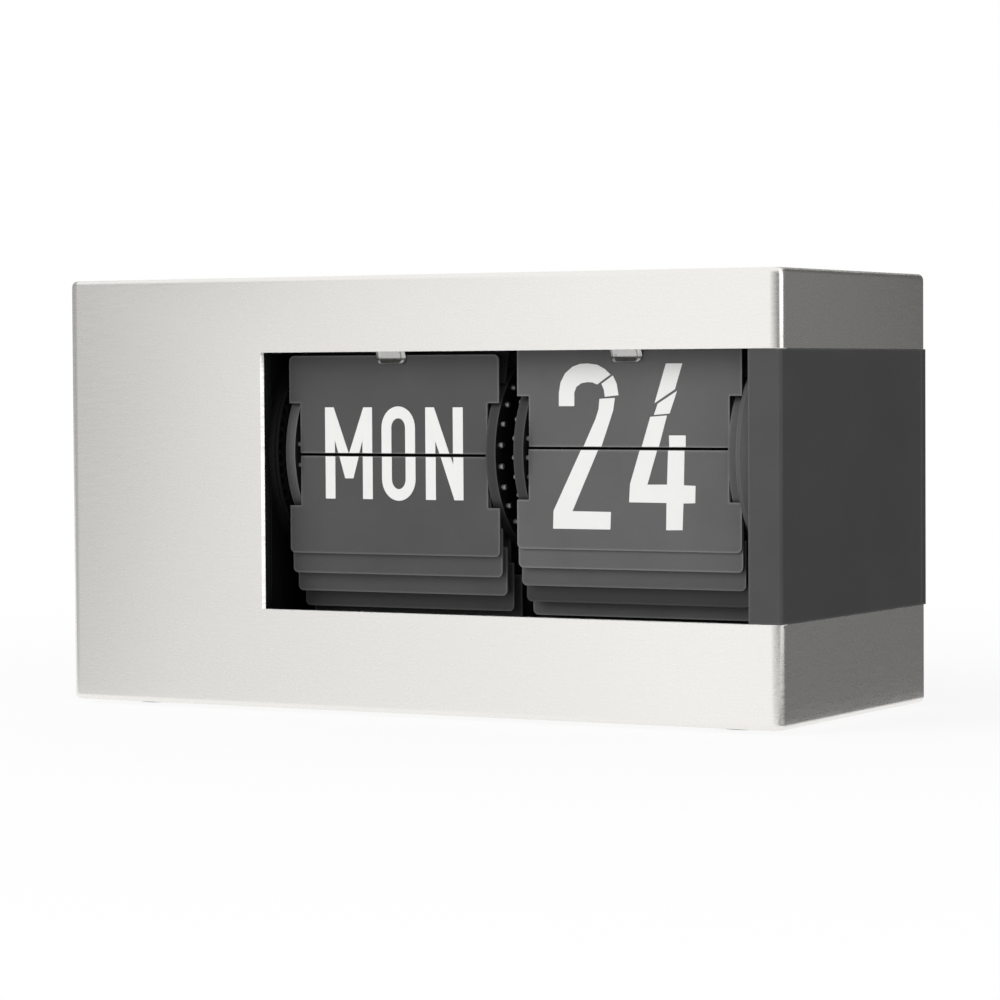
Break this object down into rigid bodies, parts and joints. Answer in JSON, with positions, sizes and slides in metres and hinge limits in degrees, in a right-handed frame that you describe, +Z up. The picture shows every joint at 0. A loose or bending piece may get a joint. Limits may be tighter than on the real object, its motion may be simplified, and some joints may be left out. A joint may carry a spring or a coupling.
{
  "type": "desk calendar",
  "caption": "Desk calendar with split leaves for day and date, in a brushed steel sleeve whose window wraps the right corner.",
  "frame": {"origin": "on the table under the rubber feet, at the middle of the whole calendar", "axes": "+X to the reader's right along the width, -Y out of the display window towards the reader, +Z up"},
  "size_m": [0.178, 0.0788, 0.096],
  "materials": {
    "sleeve_steel": "brushed stainless, fine lines along the width",
    "case_black": "fine textured black",
    "holder_black": "satin black",
    "drum_black": "satin black",
    "leaf_grey": "matt dark grey with a fine grain",
    "clip_steel": "spring steel",
    "plate_steel": "zinc-plated sheet",
    "rod_steel": "ground rod",
    "screw_steel": "zinc-plated",
    "foot_rubber": "matt",
    "battery_jacket": "plain printed jacket",
    "contact_nickel": "nickel-plated",
    "gearbox_grey": "natural moulded",
    "motor_steel": "drawn can",
    "board_green": "coated board",
    "component_black": "moulded"
  },
  "bodies": {
    "case": {"steel_sleeve": "sleeve_steel", "inner_case": "case_black", "rear_cover": "case_black", "cover_screws": "screw_steel", "sleeve_screws": "screw_steel", "rubber_feet": "foot_rubber", "battery_holder": "holder_black", "battery": "battery_jacket", "contact_top": "contact_nickel", "contact_bottom": "contact_nickel", "left_side_plate": "plate_steel", "right_side_plate": "plate_steel", "frame_screws": "screw_steel", "tie_rods": "rod_steel", "drum_axle": "rod_steel", "axle_clips": "screw_steel", "axle_spacers": "drum_black", "gear_guards": "drum_black", "wheel_rod": "rod_steel", "wheel_collars": "drum_black", "clip_rail": "plate_steel", "rail_screws": "screw_steel", "clip_rivets": "clip_steel", "day_flap_clip": "clip_steel", "date_flap_clip": "clip_steel", "gearbox": "gearbox_grey", "motor": "motor_steel", "motor_screws": "screw_steel", "circuit_board": "board_green", "board_screws": "screw_steel", "board_parts": "component_black"},
    "day_drum": {"day_left_disc": "drum_black", "day_right_disc": "drum_black", "day_hub": "drum_black", "day_gear": "drum_black", "day_stored_flaps": "leaf_grey"},
    "day_top_leaf": {"day_top_flap": "leaf_grey"},
    "day_leaf_1": {"day_flap_1": "leaf_grey"},
    "day_leaf_2": {"day_flap_2": "leaf_grey"},
    "day_leaf_3": {"day_flap_3": "leaf_grey"},
    "day_leaf_4": {"day_flap_4": "leaf_grey"},
    "day_leaf_5": {"day_flap_5": "leaf_grey"},
    "day_wheel": {"day_set_wheel": "drum_black"},
    "date_drum": {"date_left_disc": "drum_black", "date_right_disc": "drum_black", "date_hub": "drum_black", "date_gear": "drum_black", "date_stored_flaps": "leaf_grey"},
    "date_top_leaf": {"date_top_flap": "leaf_grey"},
    "date_leaf_1": {"date_flap_1": "leaf_grey"},
    "date_leaf_2": {"date_flap_2": "leaf_grey"},
    "date_leaf_3": {"date_flap_3": "leaf_grey"},
    "date_leaf_4": {"date_flap_4": "leaf_grey"},
    "date_leaf_5": {"date_flap_5": "leaf_grey"},
    "date_wheel": {"date_set_wheel": "drum_black"},
    "drive_train": {"drive_shaft": "rod_steel", "day_finger_wheel": "gearbox_grey", "date_finger_wheel": "gearbox_grey"},
    "battery_door": {"battery_door": "case_black"}
  },
  "joints": [
    {"name": "day_drum_turn", "type": "hinge", "parent": "case", "child": "day_drum", "pos_m": [0, -0.012, 0.0574], "axis": [1, 0, 0], "range_deg": [0, 12.86]},
    {"name": "day_leaf_fall", "type": "hinge", "parent": "day_drum", "child": "day_top_leaf", "pos_m": [0, -0.03242, 0.05919], "axis": [1, 0, 0], "range_deg": [0, 167.15], "deforming": ["day_flap_clip"]},
    {"name": "day_leaf_1_swing", "type": "hinge", "parent": "day_drum", "child": "day_leaf_1", "pos_m": [0, -0.03231, 0.0546], "axis": [1, 0, 0], "range_deg": [-12.86, 0]},
    {"name": "day_leaf_2_swing", "type": "hinge", "parent": "day_drum", "child": "day_leaf_2", "pos_m": [0, -0.03118, 0.05015], "axis": [1, 0, 0], "range_deg": [-12.86, 0]},
    {"name": "day_leaf_3_swing", "type": "hinge", "parent": "day_drum", "child": "day_leaf_3", "pos_m": [0, -0.02908, 0.04606], "axis": [1, 0, 0], "range_deg": [-12.86, 0]},
    {"name": "day_leaf_4_swing", "type": "hinge", "parent": "day_drum", "child": "day_leaf_4", "pos_m": [0, -0.02613, 0.04255], "axis": [1, 0, 0], "range_deg": [-12.86, 0]},
    {"name": "day_leaf_5_swing", "type": "hinge", "parent": "day_drum", "child": "day_leaf_5", "pos_m": [0, -0.02247, 0.03978], "axis": [1, 0, 0], "range_deg": [-12.86, 0]},
    {"name": "day_wheel_turn", "type": "hinge", "parent": "case", "child": "day_wheel", "pos_m": [0, 0.02489, 0.0574], "axis": [1, 0, 0], "range_deg": [-21.83, 0]},
    {"name": "date_drum_turn", "type": "hinge", "parent": "case", "child": "date_drum", "pos_m": [0, -0.012, 0.0574], "axis": [1, 0, 0], "range_deg": [0, 11.61]},
    {"name": "date_leaf_fall", "type": "hinge", "parent": "date_drum", "child": "date_top_leaf", "pos_m": [0, -0.03224, 0.06068], "axis": [1, 0, 0], "range_deg": [0, 168.4], "deforming": ["date_flap_clip"]},
    {"name": "date_leaf_1_swing", "type": "hinge", "parent": "date_drum", "child": "date_leaf_1", "pos_m": [0, -0.03248, 0.05654], "axis": [1, 0, 0], "range_deg": [-11.61, 0]},
    {"name": "date_leaf_2_swing", "type": "hinge", "parent": "date_drum", "child": "date_leaf_2", "pos_m": [0, -0.03189, 0.05243], "axis": [1, 0, 0], "range_deg": [-11.61, 0]},
    {"name": "date_leaf_3_swing", "type": "hinge", "parent": "date_drum", "child": "date_leaf_3", "pos_m": [0, -0.03048, 0.04853], "axis": [1, 0, 0], "range_deg": [-11.61, 0]},
    {"name": "date_leaf_4_swing", "type": "hinge", "parent": "date_drum", "child": "date_leaf_4", "pos_m": [0, -0.02832, 0.04499], "axis": [1, 0, 0], "range_deg": [-11.61, 0]},
    {"name": "date_leaf_5_swing", "type": "hinge", "parent": "date_drum", "child": "date_leaf_5", "pos_m": [0, -0.02549, 0.04196], "axis": [1, 0, 0], "range_deg": [-11.61, 0]},
    {"name": "date_wheel_turn", "type": "hinge", "parent": "case", "child": "date_wheel", "pos_m": [0, 0.02489, 0.0574], "axis": [1, 0, 0], "range_deg": [-20.01, 0]},
    {"name": "drive_turn", "type": "hinge", "parent": "case", "child": "drive_train", "pos_m": [0, 0.0131, 0.025], "axis": [1, 0, 0], "range_deg": [-150, 150]},
    {"name": "battery_door_swing", "type": "hinge", "parent": "case", "child": "battery_door", "pos_m": [-0.065, 0.0358, 0.0393], "axis": [-1, 0, 0], "range_deg": [0, 100]}
  ],
  "couplings": [
    {"joint": "day_leaf_fall", "follows": "day_drum_turn", "ratio": 13},
    {"joint": "day_leaf_1_swing", "follows": "day_drum_turn", "ratio": -1},
    {"joint": "day_leaf_2_swing", "follows": "day_drum_turn", "ratio": -1},
    {"joint": "day_leaf_3_swing", "follows": "day_drum_turn", "ratio": -1},
    {"joint": "day_leaf_4_swing", "follows": "day_drum_turn", "ratio": -1},
    {"joint": "day_leaf_5_swing", "follows": "day_drum_turn", "ratio": -1},
    {"joint": "day_wheel_turn", "follows": "day_drum_turn", "ratio": -1.697},
    {"joint": "date_leaf_fall", "follows": "date_drum_turn", "ratio": 14.5},
    {"joint": "date_leaf_1_swing", "follows": "date_drum_turn", "ratio": -1},
    {"joint": "date_leaf_2_swing", "follows": "date_drum_turn", "ratio": -1},
    {"joint": "date_leaf_3_swing", "follows": "date_drum_turn", "ratio": -1},
    {"joint": "date_leaf_4_swing", "follows": "date_drum_turn", "ratio": -1},
    {"joint": "date_leaf_5_swing", "follows": "date_drum_turn", "ratio": -1},
    {"joint": "date_wheel_turn", "follows": "date_drum_turn", "ratio": -1.7222}
  ]
}
